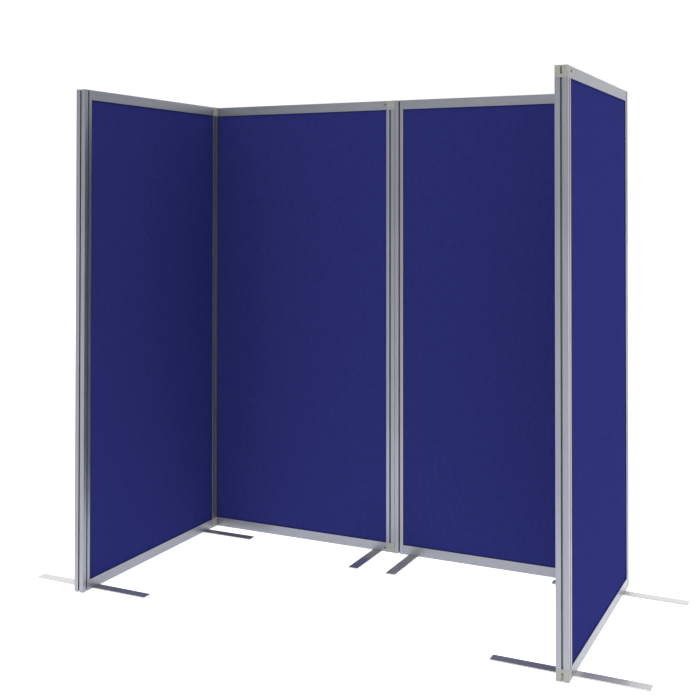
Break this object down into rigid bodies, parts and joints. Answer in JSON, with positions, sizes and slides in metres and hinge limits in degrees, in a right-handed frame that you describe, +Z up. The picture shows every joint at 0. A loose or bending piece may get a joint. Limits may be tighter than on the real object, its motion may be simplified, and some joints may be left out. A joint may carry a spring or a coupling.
{
  "type": "exhibition partition wall",
  "caption": "U-shaped free-standing exhibition wall of framed blue fabric panels, cam-locked edge to edge, on flat steel feet.",
  "frame": {"origin": "on the floor, under the middle of the whole object's outer box", "axes": "+X to the right along the back wall, +Y from the open front towards the back wall, +Z up"},
  "size_m": [2.3006, 1.1708, 1.8613],
  "materials": {
    "anodised_frame": "satin anodised, drawn along each bar",
    "lock_block": "fine moulded, warm grey",
    "blue_fabric": "short brushed loop nylon, royal blue",
    "board_core": "raw light board",
    "lock_steel": "blackened, lightly oiled",
    "polished_foot": "polished"
  },
  "bodies": {
    "root": {"left_wing_plain_upright": "anodised_frame", "left_wing_lock_upright": "anodised_frame", "left_wing_top_rail": "anodised_frame", "left_wing_bottom_rail": "anodised_frame", "left_wing_core_board": "board_core", "left_wing_fabric_cover": "blue_fabric", "left_wing_top_block": "lock_block", "left_wing_bottom_block": "lock_block", "left_wing_plain_end_foot_bar": "polished_foot", "left_wing_plain_end_foot_screw": "lock_steel", "left_wing_lock_end_foot_bar": "polished_foot", "left_wing_lock_end_foot_screw": "lock_steel", "back_left_plain_upright": "anodised_frame", "back_left_lock_upright": "anodised_frame", "back_left_top_rail": "anodised_frame", "back_left_bottom_rail": "anodised_frame", "back_left_core_board": "board_core", "back_left_fabric_cover": "blue_fabric", "back_left_top_block": "lock_block", "back_left_bottom_block": "lock_block", "back_left_lock_end_foot_bar": "polished_foot", "back_left_lock_end_foot_screw": "lock_steel", "back_right_plain_upright": "anodised_frame", "back_right_lock_upright": "anodised_frame", "back_right_top_rail": "anodised_frame", "back_right_bottom_rail": "anodised_frame", "back_right_core_board": "board_core", "back_right_fabric_cover": "blue_fabric", "back_right_top_block": "lock_block", "back_right_bottom_block": "lock_block", "back_right_plain_end_foot_bar": "polished_foot", "back_right_plain_end_foot_screw": "lock_steel", "right_wing_plain_upright": "anodised_frame", "right_wing_lock_upright": "anodised_frame", "right_wing_top_rail": "anodised_frame", "right_wing_bottom_rail": "anodised_frame", "right_wing_core_board": "board_core", "right_wing_fabric_cover": "blue_fabric", "right_wing_top_block": "lock_block", "right_wing_bottom_block": "lock_block", "right_wing_plain_end_foot_bar": "polished_foot", "right_wing_plain_end_foot_screw": "lock_steel", "right_wing_lock_end_foot_bar": "polished_foot", "right_wing_lock_end_foot_screw": "lock_steel"},
    "left_wing_top_cam": {"left_wing_top_cam": "lock_steel"},
    "left_wing_top_tongue": {"left_wing_top_tongue": "lock_steel"},
    "left_wing_bottom_cam": {"left_wing_bottom_cam": "lock_steel"},
    "left_wing_bottom_tongue": {"left_wing_bottom_tongue": "lock_steel"},
    "back_left_top_cam": {"back_left_top_cam": "lock_steel"},
    "back_left_top_tongue": {"back_left_top_tongue": "lock_steel"},
    "back_left_bottom_cam": {"back_left_bottom_cam": "lock_steel"},
    "back_left_bottom_tongue": {"back_left_bottom_tongue": "lock_steel"},
    "back_right_top_cam": {"back_right_top_cam": "lock_steel"},
    "back_right_top_tongue": {"back_right_top_tongue": "lock_steel"},
    "back_right_bottom_cam": {"back_right_bottom_cam": "lock_steel"},
    "back_right_bottom_tongue": {"back_right_bottom_tongue": "lock_steel"},
    "right_wing_top_cam": {"right_wing_top_cam": "lock_steel"},
    "right_wing_top_tongue": {"right_wing_top_tongue": "lock_steel"},
    "right_wing_bottom_cam": {"right_wing_bottom_cam": "lock_steel"},
    "right_wing_bottom_tongue": {"right_wing_bottom_tongue": "lock_steel"}
  },
  "joints": [
    {"name": "left_wing_top_cam_turn", "type": "hinge", "parent": "root", "child": "left_wing_top_cam", "pos_m": [-0.9003, 0.2716, 1.8458], "axis": [-1, 0, 0], "range_deg": [-180, 0]},
    {"name": "left_wing_top_tongue_slide", "type": "slide", "parent": "root", "child": "left_wing_top_tongue", "axis": [0, 1, 0], "range_m": [-0.012, 0]},
    {"name": "left_wing_bottom_cam_turn", "type": "hinge", "parent": "root", "child": "left_wing_bottom_cam", "pos_m": [-0.9003, 0.2716, 0.0198], "axis": [1, 0, 0], "range_deg": [-180, 0]},
    {"name": "left_wing_bottom_tongue_slide", "type": "slide", "parent": "root", "child": "left_wing_bottom_tongue", "axis": [0, 1, 0], "range_m": [-0.012, 0]},
    {"name": "back_left_top_cam_turn", "type": "hinge", "parent": "root", "child": "back_left_top_cam", "pos_m": [-0.0638, 0.3354, 1.8458], "axis": [0, 1, 0], "range_deg": [-180, 0]},
    {"name": "back_left_top_tongue_slide", "type": "slide", "parent": "root", "child": "back_left_top_tongue", "axis": [1, 0, 0], "range_m": [-0.012, 0]},
    {"name": "back_left_bottom_cam_turn", "type": "hinge", "parent": "root", "child": "back_left_bottom_cam", "pos_m": [-0.0638, 0.3354, 0.0198], "axis": [0, -1, 0], "range_deg": [-180, 0]},
    {"name": "back_left_bottom_tongue_slide", "type": "slide", "parent": "root", "child": "back_left_bottom_tongue", "axis": [1, 0, 0], "range_m": [-0.012, 0]},
    {"name": "back_right_top_cam_turn", "type": "hinge", "parent": "root", "child": "back_right_top_cam", "pos_m": [0.8365, 0.3354, 1.8458], "axis": [0, 1, 0], "range_deg": [-180, 0]},
    {"name": "back_right_top_tongue_slide", "type": "slide", "parent": "root", "child": "back_right_top_tongue", "axis": [1, 0, 0], "range_m": [-0.012, 0]},
    {"name": "back_right_bottom_cam_turn", "type": "hinge", "parent": "root", "child": "back_right_bottom_cam", "pos_m": [0.8365, 0.3354, 0.0198], "axis": [0, -1, 0], "range_deg": [-180, 0]},
    {"name": "back_right_bottom_tongue_slide", "type": "slide", "parent": "root", "child": "back_right_bottom_tongue", "axis": [1, 0, 0], "range_m": [-0.012, 0]},
    {"name": "right_wing_top_cam_turn", "type": "hinge", "parent": "root", "child": "right_wing_top_cam", "pos_m": [0.9003, -0.5011, 1.8458], "axis": [1, 0, 0], "range_deg": [0, 180]},
    {"name": "right_wing_top_tongue_slide", "type": "slide", "parent": "root", "child": "right_wing_top_tongue", "axis": [0, -1, 0], "range_m": [0, 0.012]},
    {"name": "right_wing_bottom_cam_turn", "type": "hinge", "parent": "root", "child": "right_wing_bottom_cam", "pos_m": [0.9003, -0.5011, 0.0198], "axis": [-1, 0, 0], "range_deg": [-60, 120]},
    {"name": "right_wing_bottom_tongue_slide", "type": "slide", "parent": "root", "child": "right_wing_bottom_tongue", "axis": [0, -1, 0], "range_m": [-0.004, 0.008]}
  ],
  "couplings": [
    {"joint": "left_wing_top_tongue_slide", "follows": "left_wing_top_cam_turn", "m_per_rad": 0.0038197},
    {"joint": "left_wing_bottom_tongue_slide", "follows": "left_wing_bottom_cam_turn", "m_per_rad": 0.0038197},
    {"joint": "back_left_top_tongue_slide", "follows": "back_left_top_cam_turn", "m_per_rad": 0.0038197},
    {"joint": "back_left_bottom_tongue_slide", "follows": "back_left_bottom_cam_turn", "m_per_rad": 0.0038197},
    {"joint": "back_right_top_tongue_slide", "follows": "back_right_top_cam_turn", "m_per_rad": 0.0038197},
    {"joint": "back_right_bottom_tongue_slide", "follows": "back_right_bottom_cam_turn", "m_per_rad": 0.0038197},
    {"joint": "right_wing_top_tongue_slide", "follows": "right_wing_top_cam_turn", "m_per_rad": 0.0038197},
    {"joint": "right_wing_bottom_tongue_slide", "follows": "right_wing_bottom_cam_turn", "m_per_rad": 0.0038197}
  ]
}
